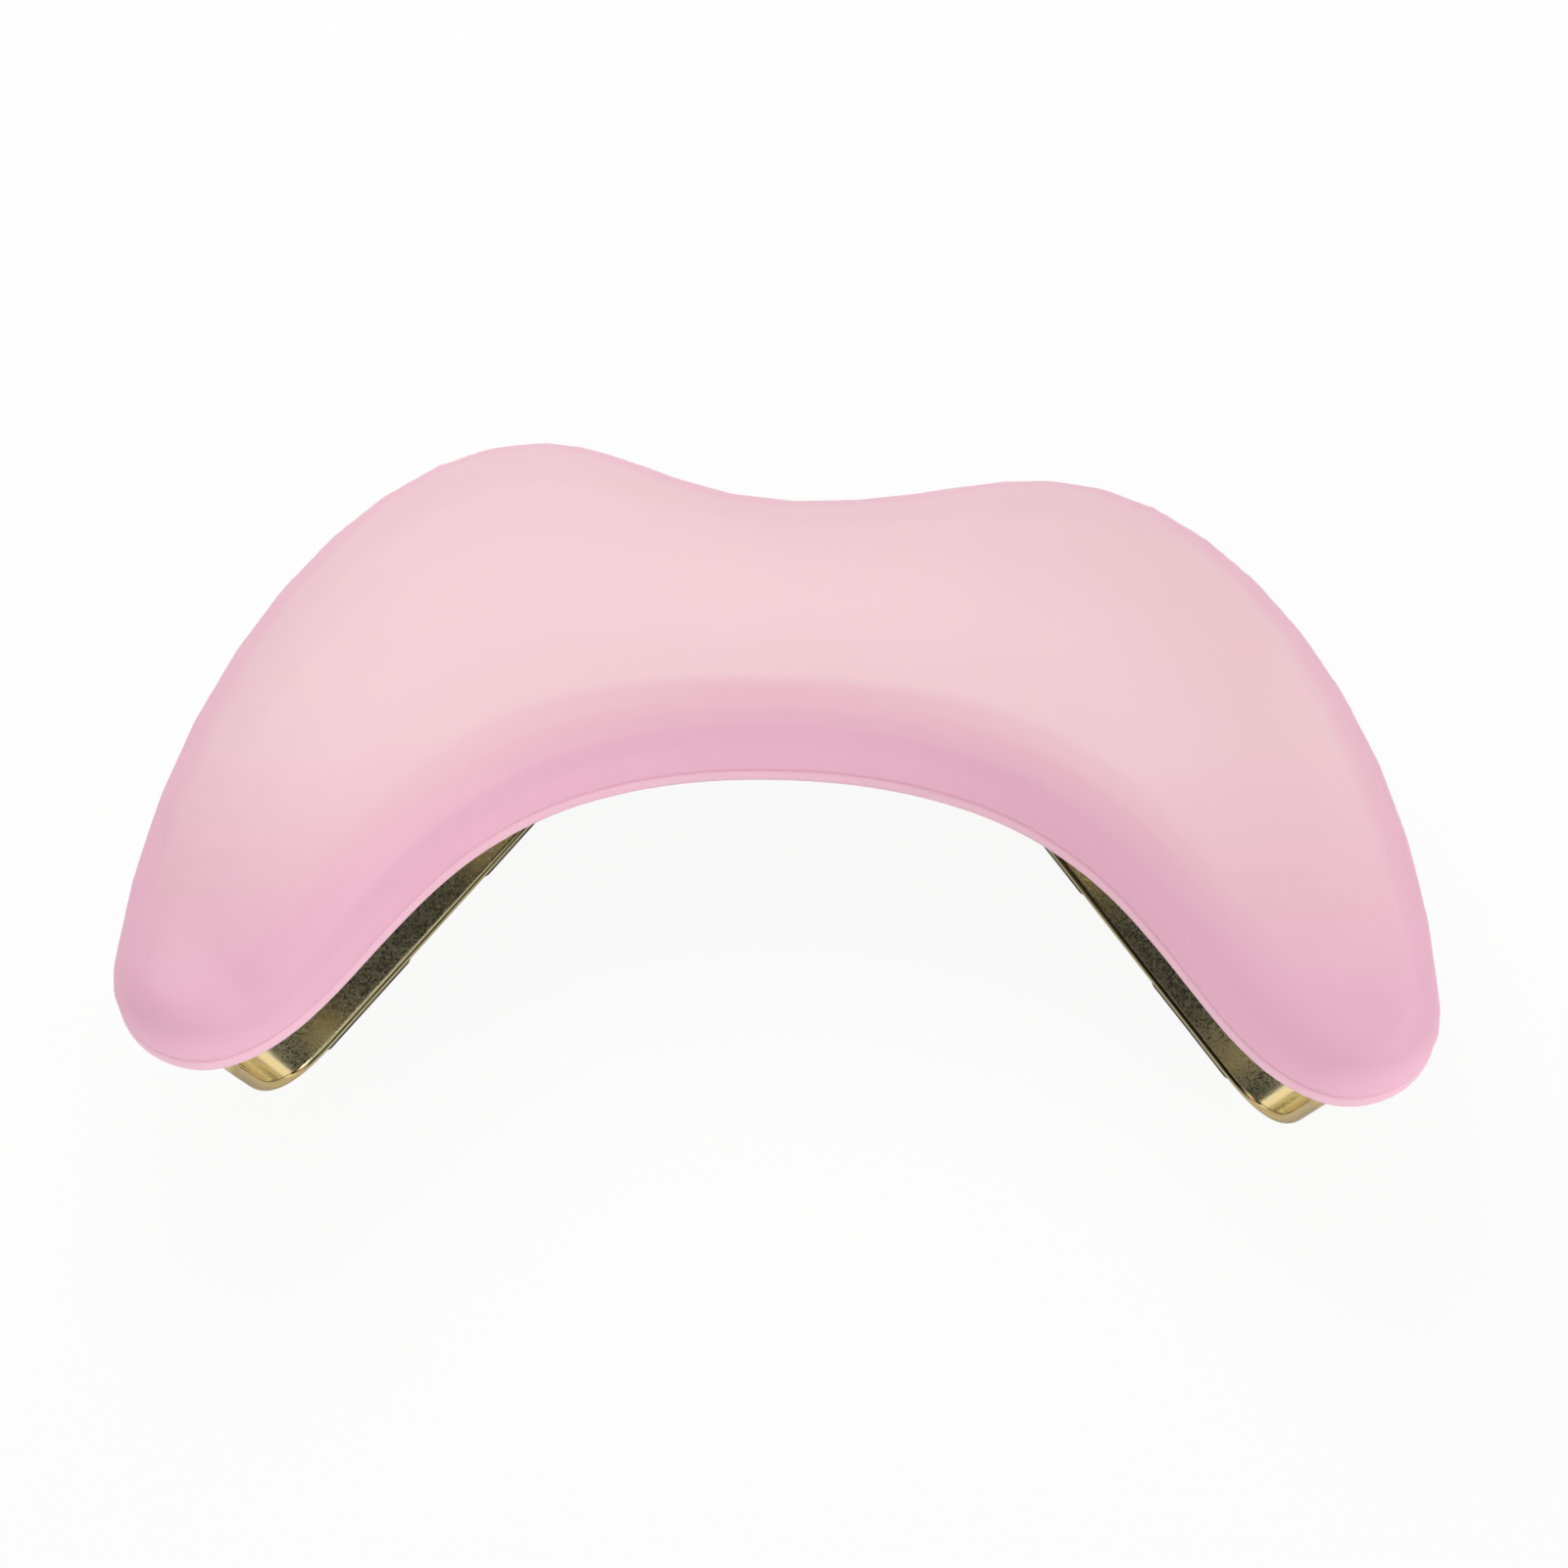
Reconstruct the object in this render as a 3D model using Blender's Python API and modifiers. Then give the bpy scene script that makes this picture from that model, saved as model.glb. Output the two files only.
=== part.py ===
"""Manicure hand rest: a padded crescent on two loops of gold plated strip, open at the top. Metres, +Z up.

The front, where the hand comes in, faces -Y. The long side runs along X and the floor is z = 0.
"""
import math

import bmesh
import bpy
from mathutils import Matrix, Vector

# Plan of the crescent, in metres
LENGTH = 0.370
DEPTH = 0.209
TIP_RADIUS = 0.026
HUMP_X = 0.0765
RIGHT_HUMP_DROP = 0.009
NOTCH_DEPTH = 0.020
BAY_DEPTH = 0.0995
BAY_ANGLE = math.radians(117)

# Handle lengths of the Bezier stretches between the named points of the plan
NOTCH_EASE = 0.034
HUMP_EASE_IN = 0.024
HUMP_EASE_OUT = 0.056
SIDE_EASE = 0.092
BAY_FLARE = 0.046
BAY_EASE = 0.108

# Thicknesses of the padded top, from the floor side up
LEG_HEIGHT = 0.0574
LINING_THICKNESS = 0.0006
LEATHER_THICKNESS = 0.001
BOARD_THICKNESS = 0.006
DOME_HEIGHT = 0.0235
DOME_POWER = 2.6
TIP_FALL = 0.008
TIP_FALL_REACH = 0.085
CREASE_DEPTH = 0.0009
CREASE_HEIGHT = 0.0064
HEM_WIDTH = 0.015
LINING_INSET = 0.008

# Legs, bent from flat strip
STRIP_WIDTH = 0.025
STRIP_THICKNESS = 0.0035
STRIP_EDGE_ROUND = 0.0015
LEG_STRAIGHT = 0.118
LEG_ANGLE = math.radians(55.1)
RISER_ANGLE = math.radians(78)
FOOT_BEND_RADIUS = 0.025
TOP_BEND_RADIUS = 0.012
LEG_TOE = 0.0124
LEG_OFFSET = 0.0025

# Rubber pads under the legs
PAD_LENGTH = 0.041
PAD_WIDTH = 0.0242
PAD_THICKNESS = 0.002
PAD_END_INSET = 0.0015

# Fasteners
SCREW_DIAMETER = 0.0046
SCREW_HEAD_DIAMETER = 0.0095
SCREW_HEAD_HEIGHT = 0.003
SOCKET_ACROSS_FLATS = 0.003
SOCKET_DEPTH = 0.0017
SCREW_END_INSET = 0.024
SCREW_PITCH = 0.022
TAB_OVERHANG = 0.011
NUT_WALL = 0.0009
NUT_FLANGE_DIAMETER = 0.016
NUT_FLANGE_THICKNESS = 0.0011
NUT_BARREL_LENGTH = 0.0046

# Clearances
SEAT_GAP = 0.0003
FOAM_GAP = 0.0008
SCREW_CLEARANCE = 0.0004

# Collections of the pieces and of the Boolean tools
PARTS = "manicure_hand_rest"
CUTTERS = "cutters"

# Points along one arm of the plan and round one tip
ARM_STEPS = 15
TIP_STEPS = 7
DOME_STEPS = (0.0, 0.035, 0.1, 0.21, 0.38, 0.65, 1.0)

# Heights that follow from the stack
STRIP_BOTTOM = PAD_THICKNESS + SEAT_GAP
STRIP_TOP = STRIP_BOTTOM + LEG_HEIGHT
LINING_BOTTOM = STRIP_TOP + SEAT_GAP
HEM_BOTTOM = LINING_BOTTOM + LINING_THICKNESS + SEAT_GAP
BOARD_BOTTOM = HEM_BOTTOM + LEATHER_THICKNESS + SEAT_GAP
BOARD_TOP = BOARD_BOTTOM + BOARD_THICKNESS
FOAM_BOTTOM = BOARD_TOP + SEAT_GAP
CREASE_Z = HEM_BOTTOM + CREASE_HEIGHT
DOME_BASE = CREASE_Z + 2 * CREASE_DEPTH
BOARD_INSET = LEATHER_THICKNESS + CREASE_DEPTH + 1.5 * SEAT_GAP
FOAM_INSET = LEATHER_THICKNESS + FOAM_GAP

# Plan places that follow from the outline
TIP_CENTRE = Vector((LENGTH / 2 - TIP_RADIUS, TIP_RADIUS - DEPTH / 2))
FOOT_TANGENT = FOOT_BEND_RADIUS * math.tan(RISER_ANGLE / 2)
FOOT_HALF = LEG_STRAIGHT / 2 + FOOT_TANGENT
TOP_HALF = FOOT_HALF + LEG_HEIGHT / math.tan(RISER_ANGLE)
LEG_ALONG = Vector((math.cos(LEG_ANGLE), -math.sin(LEG_ANGLE)))
LEG_ACROSS = Vector((math.sin(LEG_ANGLE), math.cos(LEG_ANGLE)))
LEG_CENTRE = TIP_CENTRE - LEG_ACROSS * LEG_OFFSET + LEG_ALONG * (LEG_TOE - TOP_HALF)
SCREW_PLACES = tuple(
    side * (TOP_HALF - SCREW_END_INSET - step * SCREW_PITCH) for side in (1, -1) for step in (0, 1)
)
TAB_END = TOP_HALF - SCREW_END_INSET - SCREW_PITCH - TAB_OVERHANG
NUT_BORE = SCREW_DIAMETER + 2 * SEAT_GAP
NUT_BARREL_DIAMETER = NUT_BORE + 2 * NUT_WALL


def clear_scene():
    """Remove every object of the file that the script runs in."""
    for item in list(bpy.data.objects):
        bpy.data.objects.remove(item, do_unlink=True)


def material(name, colour, roughness, metallic=0.0):
    """Make one Principled material."""
    made = bpy.data.materials.new(name)
    made.use_nodes = True
    shader = made.node_tree.nodes["Principled BSDF"]
    shader.inputs["Base Color"].default_value = (*colour, 1.0)
    shader.inputs["Roughness"].default_value = roughness
    shader.inputs["Metallic"].default_value = metallic
    return made


def add_mesh(name, mesh_data, look, collection=PARTS):
    """Turn a bmesh into a named object with its material, normals facing out."""
    bmesh.ops.recalc_face_normals(mesh_data, faces=mesh_data.faces)
    mesh = bpy.data.meshes.new(name)
    mesh_data.to_mesh(mesh)
    mesh_data.free()
    made = bpy.data.objects.new(name, mesh)
    bpy.data.collections[collection].objects.link(made)
    if look is not None:
        made.data.materials.append(look)
    return made


def shade_smooth(thing, angle=math.radians(35)):
    """Shade a round piece smooth, with its sharp edges kept."""
    thing.data.shade_smooth()
    thing.data.set_sharp_from_angle(angle=angle)


def bezier(start, start_handle, end_handle, end, steps):
    """Points along one cubic Bezier stretch, without its last point."""
    points = []
    for step in range(steps):
        t = step / steps
        u = 1 - t
        points.append(
            start * u**3 + start_handle * (3 * u * u * t) + end_handle * (3 * u * t * t) + end * t**3
        )
    return points


def half_plan(hump_drop):
    """One half, drawn on the right: its outer edge, the tip's arc, the edge of the bay and its spine."""
    back = DEPTH / 2
    notch = Vector((0, back - NOTCH_DEPTH))
    hump = Vector((HUMP_X, back - hump_drop))
    side = Vector((LENGTH / 2, TIP_CENTRE.y))
    bay = Vector((0, BAY_DEPTH - back))
    along_x = Vector((1, 0))
    along_y = Vector((0, 1))
    notch_steps = ARM_STEPS // 3
    outer = bezier(notch, notch + along_x * NOTCH_EASE, hump - along_x * HUMP_EASE_IN, hump, notch_steps)
    outer += bezier(
        hump, hump + along_x * HUMP_EASE_OUT, side + along_y * SIDE_EASE, side, ARM_STEPS - notch_steps
    )
    outer.append(side)
    tip = []
    for step in range(1, TIP_STEPS):
        angle = -BAY_ANGLE * step / TIP_STEPS
        tip.append(TIP_CENTRE + TIP_RADIUS * Vector((math.cos(angle), math.sin(angle))))
    bay_start = TIP_CENTRE + TIP_RADIUS * Vector((math.cos(-BAY_ANGLE), math.sin(-BAY_ANGLE)))
    flare = Vector((-math.sin(BAY_ANGLE), -math.cos(BAY_ANGLE))) * BAY_FLARE
    inner = bezier(bay_start, bay_start + flare, bay + along_x * BAY_EASE, bay, ARM_STEPS)
    inner.append(bay)
    spine = [(a + b) / 2 for a, b in zip(outer, reversed(inner))]
    return outer + tip + inner, spine + [spine[-1]] * len(tip) + spine[::-1]


def plan():
    """The closed outline, clockwise from the back notch, and the spine point that each point leads to.

    The right hump lies a little further forward than the left one, as in the photograph.
    """
    right, right_spine = half_plan(RIGHT_HUMP_DROP)
    left, left_spine = half_plan(0)
    mirror = Vector((-1, 1))
    left = [point * mirror for point in reversed(left[1:-1])]
    left_spine = [point * mirror for point in reversed(left_spine[1:-1])]
    return right + left, right_spine + left_spine


def inset_outline(points, inset):
    """Move each point of the clockwise outline inward along its normal."""
    moved = []
    for index, point in enumerate(points):
        tangent = (points[(index + 1) % len(points)] - points[index - 1]).normalized()
        moved.append(point + Vector((tangent.y, -tangent.x)) * inset)
    return moved


def loft(rings):
    """Extrude a ring of edges through the rings, each a list of 3D points. The first ring stays open."""
    mesh_data = bmesh.new()
    column = mesh_data.verts.layers.int.new("column")
    made = bmesh.ops.create_circle(mesh_data, cap_ends=False, segments=len(rings[0]), radius=1.0)
    for index, vert in enumerate(made["verts"]):
        vert[column] = index
        vert.co = rings[0][index]
    edges = list(mesh_data.edges)
    for ring in rings[1:]:
        grown = bmesh.ops.extrude_edge_only(mesh_data, edges=edges)["geom"]
        edges = [item for item in grown if isinstance(item, bmesh.types.BMEdge)]
        for vert in (item for item in grown if isinstance(item, bmesh.types.BMVert)):
            vert.co = ring[vert[column]]
    bmesh.ops.remove_doubles(mesh_data, verts=mesh_data.verts, dist=1e-6)
    return mesh_data


def tip_fall(middle):
    """How much lower the dome's spine lies at a plan point, because each arm slopes down to its tip."""
    share = 1 - (middle.y - TIP_CENTRE.y) / TIP_FALL_REACH
    return TIP_FALL * min(max(share, 0), 1) ** 2


def dome_rings(inset, base, height):
    """Rings of the dome from its base up to the spine, for an outline that is inset."""
    outline, spine = plan()
    outline = inset_outline(outline, inset)
    rings = []
    for share in DOME_STEPS:
        rise = (1 - (1 - share) ** DOME_POWER) ** (1 / DOME_POWER)
        ring = []
        for edge, middle in zip(outline, spine):
            z = base + (height - tip_fall(middle)) * rise
            ring.append(edge.lerp(middle, share).to_3d() + Vector((0, 0, z)))
        rings.append(ring)
    return rings


def flat_ring(inset, z):
    """One level ring of the outline."""
    return [point.to_3d() + Vector((0, 0, z)) for point in inset_outline(plan()[0], inset)]


def plate(name, inset, bottom, thickness, look):
    """A flat plate with the outline of the crescent."""
    mesh_data = bmesh.new()
    ring = flat_ring(inset, bottom)
    made = bmesh.ops.create_circle(mesh_data, cap_ends=True, segments=len(ring), radius=1.0)
    for vert, place in zip(made["verts"], ring):
        vert.co = place
    grown = bmesh.ops.extrude_face_region(mesh_data, geom=list(mesh_data.faces))["geom"]
    top = [item for item in grown if isinstance(item, bmesh.types.BMVert)]
    bmesh.ops.translate(mesh_data, verts=top, vec=(0, 0, thickness))
    return add_mesh(name, mesh_data, look)


def leather_cover(look):
    """The leather skin: hem under the board, rim band, crease and dome, all one sheet."""
    round_off = LEATHER_THICKNESS
    rings = [
        flat_ring(HEM_WIDTH, HEM_BOTTOM),
        flat_ring(round_off, HEM_BOTTOM),
        flat_ring(0, HEM_BOTTOM + round_off),
        flat_ring(0, CREASE_Z - 1.5 * CREASE_DEPTH),
        flat_ring(CREASE_DEPTH, CREASE_Z),
    ]
    rings += dome_rings(0, DOME_BASE, DOME_HEIGHT)
    cover = add_mesh("leather_cover", loft(rings), look)
    skin = cover.modifiers.new("thickness", "SOLIDIFY")
    skin.thickness = LEATHER_THICKNESS
    skin.offset = -1
    skin.use_even_offset = True
    shade_smooth(cover, math.radians(50))


def foam_pad(look):
    """The sponge block, domed like the cover and flat below."""
    dome_top = DOME_BASE + DOME_HEIGHT - FOAM_INSET
    dome_base = FOAM_BOTTOM + FOAM_GAP
    rings = [flat_ring(FOAM_INSET, FOAM_BOTTOM)]
    rings += dome_rings(FOAM_INSET, dome_base, dome_top - dome_base)
    mesh_data = loft(rings)
    rim = [edge for edge in mesh_data.edges if edge.is_boundary]
    bmesh.ops.contextual_create(mesh_data, geom=rim)
    foam = add_mesh("foam_pad", mesh_data, look)
    shade_smooth(foam, math.radians(50))


def rounded_corner(before, corner, after, radius, steps):
    """Points of the arc that rounds one corner of the leg's path."""
    to_before = (before - corner).normalized()
    to_after = (after - corner).normalized()
    half = to_before.angle(to_after) / 2
    centre = corner + (to_before + to_after).normalized() * (radius / math.sin(half))
    first = corner + to_before * (radius / math.tan(half)) - centre
    last = corner + to_after * (radius / math.tan(half)) - centre
    turn = first.angle_signed(last)
    return [centre + Matrix.Rotation(-turn * step / steps, 2) @ first for step in range(steps + 1)]


def leg_path():
    """The outer path of the strip from one tab's end to the other's, in the leg's own upright plane."""
    corners = [
        Vector((-FOOT_HALF, STRIP_BOTTOM)),
        Vector((FOOT_HALF, STRIP_BOTTOM)),
        Vector((TOP_HALF, STRIP_TOP)),
        Vector((-TOP_HALF, STRIP_TOP)),
    ]
    radii = (FOOT_BEND_RADIUS, FOOT_BEND_RADIUS, TOP_BEND_RADIUS, TOP_BEND_RADIUS)
    path = [Vector((-TAB_END, STRIP_TOP))]
    for index in (-1, 0, 1, 2):
        path += rounded_corner(corners[index - 1], corners[index], corners[index + 1], radii[index], 8)
    path.append(Vector((TAB_END, STRIP_TOP)))
    return path


def add_collections():
    """One collection for the pieces and a hidden one for the Boolean tools."""
    for name in (PARTS, CUTTERS):
        made = bpy.data.collections.new(name)
        bpy.context.scene.collection.children.link(made)
        made.hide_render = name == CUTTERS


def place_in_leg(along, side):
    """World plan position of a point that lies along the middle of one leg."""
    place = LEG_CENTRE + LEG_ALONG * along
    return Vector((side * place.x, place.y))


def hole_cutter(name, diameter, low, high, places):
    """Round cutters standing at the given plan places, as one mesh."""
    mesh_data = bmesh.new()
    for place in places:
        spot = Matrix.Translation((place.x, place.y, (low + high) / 2))
        bmesh.ops.create_cone(
            mesh_data, cap_ends=True, segments=16, radius1=diameter / 2, radius2=diameter / 2,
            depth=high - low, matrix=spot,
        )
    tool = add_mesh(name, mesh_data, None, CUTTERS)
    tool.display_type = "WIRE"
    tool.hide_render = True
    return tool


def cut(target, tool):
    """Take a tool away from a piece with an exact Boolean."""
    boolean = target.modifiers.new(tool.name, "BOOLEAN")
    boolean.operation = "DIFFERENCE"
    boolean.solver = "EXACT"
    boolean.object = tool


def leg(name, side, look):
    """One leg: a ribbon along the path, given its thickness inward, drilled and with rounded edges."""
    half = STRIP_WIDTH / 2
    path = leg_path()
    ribbon = loft([[Vector((p.x, y, p.y)) for p in path] for y in (-half, half)])
    middles = {face: face.calc_center_median() for face in ribbon.faces}
    middle = STRIP_BOTTOM + LEG_HEIGHT / 2
    between_tabs = [face for face, spot in middles.items() if spot.z > middle and abs(spot.x) < TAB_END]
    bmesh.ops.delete(ribbon, geom=between_tabs, context="FACES")
    made = add_mesh(name, ribbon, look)
    made.location = (side * LEG_CENTRE.x, LEG_CENTRE.y, 0)
    made.rotation_euler.z = -LEG_ANGLE if side > 0 else LEG_ANGLE - math.pi
    strip = made.modifiers.new("thickness", "SOLIDIFY")
    strip.thickness = STRIP_THICKNESS
    strip.offset = -1
    strip.use_even_offset = True
    edges = made.modifiers.new("rounded edges", "BEVEL")
    edges.width = STRIP_EDGE_ROUND
    edges.segments = 3
    edges.limit_method = "ANGLE"
    edges.angle_limit = math.radians(60)
    places = [place_in_leg(along, side) for along in SCREW_PLACES]
    low = STRIP_TOP - 2 * STRIP_THICKNESS
    high = STRIP_TOP + STRIP_THICKNESS
    cut(made, hole_cutter(name + "_holes", SCREW_DIAMETER + 2 * SCREW_CLEARANCE, low, high, places))
    shade_smooth(made)


def rubber_pads(name, side, look):
    """Two flat pads under the ends of one leg's straight foot."""
    for end, word in ((1, "front"), (-1, "rear")):
        mesh_data = bmesh.new()
        bmesh.ops.create_cube(mesh_data, size=1.0)
        bmesh.ops.scale(mesh_data, vec=(PAD_LENGTH, PAD_WIDTH, PAD_THICKNESS), verts=mesh_data.verts)
        made = add_mesh(f"{name}_{word}", mesh_data, look)
        spot = place_in_leg(end * (LEG_STRAIGHT / 2 - PAD_END_INSET - PAD_LENGTH / 2), side)
        made.location = (spot.x, spot.y, PAD_THICKNESS / 2)
        made.rotation_euler.z = -side * LEG_ANGLE
        corners = made.modifiers.new("rounded corners", "BEVEL")
        corners.width = PAD_THICKNESS / 4
        corners.segments = 1


def turned(name, profile, place, z, look):
    """A turned piece from its profile of (radius, height) points, standing at a plan place."""
    mesh_data = bmesh.new()
    verts = [mesh_data.verts.new((radius, 0, height)) for radius, height in profile]
    for first, second in zip(verts, verts[1:]):
        mesh_data.edges.new((first, second))
    made = add_mesh(name, mesh_data, look)
    made.location = (place.x, place.y, z)
    turn = made.modifiers.new("turned", "SCREW")
    turn.angle = math.tau
    turn.steps = 12
    turn.render_steps = 12
    turn.use_merge_vertices = True
    turn.merge_threshold = 1e-6
    turn.use_normal_calculate = True
    return made


def screw(name, place, look):
    """A button head screw, head down, with a hexagon socket."""
    head = SCREW_HEAD_DIAMETER / 2
    shank = SCREW_DIAMETER / 2
    top = BOARD_TOP - NUT_FLANGE_THICKNESS / 2
    seat = STRIP_TOP - STRIP_THICKNESS - SEAT_GAP
    length = top - seat
    profile = [(0, -SCREW_HEAD_HEIGHT)]
    for step in range(4):
        angle = math.radians(30 * step)
        profile.append((head * (0.6 + 0.4 * math.sin(angle)), -SCREW_HEAD_HEIGHT * (0.1 + 0.9 * math.cos(angle))))
    profile += [(head, 0), (shank, 0), (shank, length - shank / 3), (shank * 0.7, length), (0, length)]
    made = turned(name, profile, place, seat, look)
    mesh_data = bmesh.new()
    low = seat - 2 * SCREW_HEAD_HEIGHT
    high = seat - SCREW_HEAD_HEIGHT + SOCKET_DEPTH
    radius = SOCKET_ACROSS_FLATS / math.sqrt(3)
    spot = Matrix.Translation((place.x, place.y, (low + high) / 2))
    bmesh.ops.create_cone(
        mesh_data, cap_ends=True, segments=6, radius1=radius, radius2=radius, depth=high - low, matrix=spot
    )
    tool = add_mesh(name + "_socket", mesh_data, None, CUTTERS)
    tool.display_type = "WIRE"
    tool.hide_render = True
    cut(made, tool)
    shade_smooth(made)


def flanged_nut(name, place, look):
    """A flanged nut: a threaded barrel in the board and a round flange let into its top."""
    bore = NUT_BORE / 2
    barrel = NUT_BARREL_DIAMETER / 2
    flange = NUT_FLANGE_DIAMETER / 2
    under = -NUT_FLANGE_THICKNESS
    bottom = under - NUT_BARREL_LENGTH
    profile = [(bore, 0), (flange, 0), (flange, under), (barrel, under), (barrel, bottom), (bore, bottom), (bore, 0)]
    made = turned(name, profile, place, BOARD_TOP, look)
    made.modifiers["turned"].use_normal_flip = True
    shade_smooth(made)


def main():
    """Build the whole hand rest."""
    clear_scene()
    add_collections()
    leather = material("pink PU leather", (0.83, 0.50, 0.55), 0.5)
    foam = material("cream foam", (0.85, 0.78, 0.60), 0.95)
    board = material("fibreboard", (0.42, 0.27, 0.15), 0.85)
    felt = material("dark lining", (0.03, 0.03, 0.035), 0.95)
    gold = material("gold plated steel", (0.83, 0.69, 0.40), 0.22, 1.0)
    zinc = material("zinc plated steel", (0.62, 0.63, 0.65), 0.35, 1.0)
    rubber = material("dark rubber", (0.03, 0.025, 0.02), 0.8)
    sides = (("left", -1), ("right", 1))
    places = {name: [place_in_leg(along, side) for along in SCREW_PLACES] for name, side in sides}
    every_place = places["left"] + places["right"]

    leather_cover(leather)
    foam_pad(foam)

    base = plate("base_board", BOARD_INSET, BOARD_BOTTOM, BOARD_THICKNESS, board)
    recess_floor = BOARD_TOP - NUT_FLANGE_THICKNESS - SEAT_GAP
    barrel_hole = NUT_BARREL_DIAMETER + 2 * SEAT_GAP
    flange_hole = NUT_FLANGE_DIAMETER + 2 * SEAT_GAP
    above = BOARD_TOP + BOARD_THICKNESS
    below = BOARD_BOTTOM - BOARD_THICKNESS
    cut(base, hole_cutter("nut_holes", barrel_hole, below, above, every_place))
    cut(base, hole_cutter("nut_recesses", flange_hole, recess_floor, above, every_place))

    lining = plate("bottom_lining", LINING_INSET, LINING_BOTTOM, LINING_THICKNESS, felt)
    low = LINING_BOTTOM - LINING_THICKNESS
    high = LINING_BOTTOM + 2 * LINING_THICKNESS
    lining_hole = SCREW_DIAMETER + 2 * SCREW_CLEARANCE
    cut(lining, hole_cutter("lining_holes", lining_hole, low, high, every_place))

    for name, side in sides:
        leg(f"{name}_leg", side, gold)
        rubber_pads(f"{name}_pad", side, rubber)
        for number, place in enumerate(places[name], start=1):
            screw(f"{name}_screw_{number}", place, zinc)
            flanged_nut(f"{name}_nut_{number}", place, zinc)


main()
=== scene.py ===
import math

import bmesh
import bpy
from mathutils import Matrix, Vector
from mathutils.bvhtree import BVHTree


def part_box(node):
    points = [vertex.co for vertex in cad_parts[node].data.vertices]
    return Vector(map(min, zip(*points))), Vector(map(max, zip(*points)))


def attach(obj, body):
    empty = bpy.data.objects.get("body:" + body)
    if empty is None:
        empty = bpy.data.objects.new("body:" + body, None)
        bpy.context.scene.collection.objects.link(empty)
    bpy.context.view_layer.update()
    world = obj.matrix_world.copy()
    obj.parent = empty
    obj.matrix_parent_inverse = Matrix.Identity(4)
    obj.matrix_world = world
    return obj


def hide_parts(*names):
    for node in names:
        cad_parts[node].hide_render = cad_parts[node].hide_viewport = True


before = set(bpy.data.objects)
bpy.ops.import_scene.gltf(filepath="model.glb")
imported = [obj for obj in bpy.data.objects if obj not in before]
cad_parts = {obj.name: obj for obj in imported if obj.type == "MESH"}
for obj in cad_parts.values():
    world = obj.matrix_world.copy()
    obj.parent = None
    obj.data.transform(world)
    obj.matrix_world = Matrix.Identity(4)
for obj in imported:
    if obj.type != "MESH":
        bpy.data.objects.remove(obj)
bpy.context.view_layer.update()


# The pink leather cover
# A soft PU skin is pulled tight over the sponge, and it swells into one smooth crown without a seam on top.
# It creases where the rim band round the board begins, wraps the board's edge, and its hem turns in below.
HEM_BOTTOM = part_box("leather_cover")[0][2]
FOAM_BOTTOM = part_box("foam_pad")[0][2]
SKIN_OVER_FOAM = 0.0021
LEAST_OVER_FOAM = 0.0017
LAST_SLACK = 0.0002
PRESSURE = 4.0
MOST_SWELL = 0.005
SWELL_FRAMES = 20
HELD_FADE = 0.004
CROWN_SMOOTHING = 40
VOXEL = 0.004
LEATHER = 0.001
BAND_DROP = 0.0089
BAND_TOP = HEM_BOTTOM + BAND_DROP
RIM_MERGE = 0.0004
RIM_SMOOTHING = 12

# The rim band from its top edge down and round to the hem: (drop, how far in from the outline)
BAND = (
    (0.0010, 0.0001), (0.0018, 0.0003), (0.0023, 0.0007), (0.0026, 0.0009), (0.0029, 0.0006),
    (0.0035, 0.0002), (0.0044, 0.0000), (0.0056, -0.0002), (0.0070, 0.0000), (0.0080, 0.0004),
    (0.0086, 0.0011), (BAND_DROP, 0.0022), (BAND_DROP, 0.0060), (BAND_DROP, 0.0105), (BAND_DROP, 0.0150),
)


class Signal:
    """One socket in a material. Sums and products with it add Math nodes beside it."""

    def __init__(self, socket):
        self.socket = socket

    def math(self, operation, *values):
        node = self.socket.id_data.nodes.new("ShaderNodeMath")
        node.operation = operation
        for entry, value in zip(node.inputs, values):
            feed(entry, value)
        return Signal(node.outputs[0])

    def __add__(self, other):
        return self.math("ADD", self, other)

    def __sub__(self, other):
        return self.math("SUBTRACT", self, other)

    def __rsub__(self, other):
        return self.math("SUBTRACT", other, self)

    def __mul__(self, other):
        return self.math("MULTIPLY", self, other)

    __radd__ = __add__
    __rmul__ = __mul__

    def ramp(self, low, high):
        """0 where the signal is at or below low, 1 at or above high, smooth between."""
        node = self.socket.id_data.nodes.new("ShaderNodeMapRange")
        node.interpolation_type = "SMOOTHSTEP"
        for entry, value in zip(("Value", "From Min", "From Max"), (self, low, high)):
            feed(node.inputs[entry], value)
        return Signal(node.outputs[0])


def feed(entry, value):
    """Link a signal to a socket, or set the socket's own value."""
    if isinstance(value, Signal):
        entry.id_data.links.new(value.socket, entry)
    elif entry.type == "RGBA":
        entry.default_value = (*value, 1.0)
    else:
        entry.default_value = value


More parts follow.
